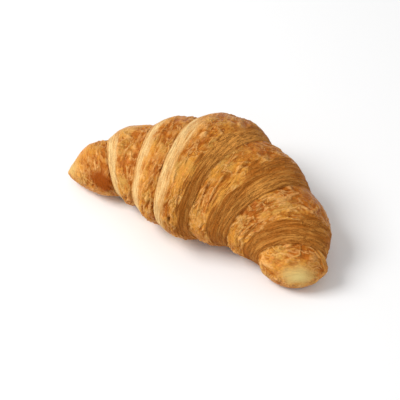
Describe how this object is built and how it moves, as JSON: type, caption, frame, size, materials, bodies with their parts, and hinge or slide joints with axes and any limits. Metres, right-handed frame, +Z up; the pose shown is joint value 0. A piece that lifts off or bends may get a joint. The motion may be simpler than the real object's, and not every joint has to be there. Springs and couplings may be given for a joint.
{
  "type": "croissant",
  "caption": "Baked crescent roll of rolled, layered dough with stepped wraps, one narrow tip, one blunt tip and a flat underside.",
  "frame": {"origin": "on the tray surface, at the middle of the croissant's box in plan", "axes": "+X from the narrow tip to the blunt tip, -Y towards the hollow side of the crescent, +Z up from the flat underside"},
  "size_m": [0.1536, 0.0808, 0.0499],
  "materials": {
    "crust": "egg-washed golden-brown crust, crumpled and satin on the skins, matt and finely layered on the faces between them"
  },
  "bodies": {
    "root": {"croissant": "crust"}
  },
  "joints": []
}
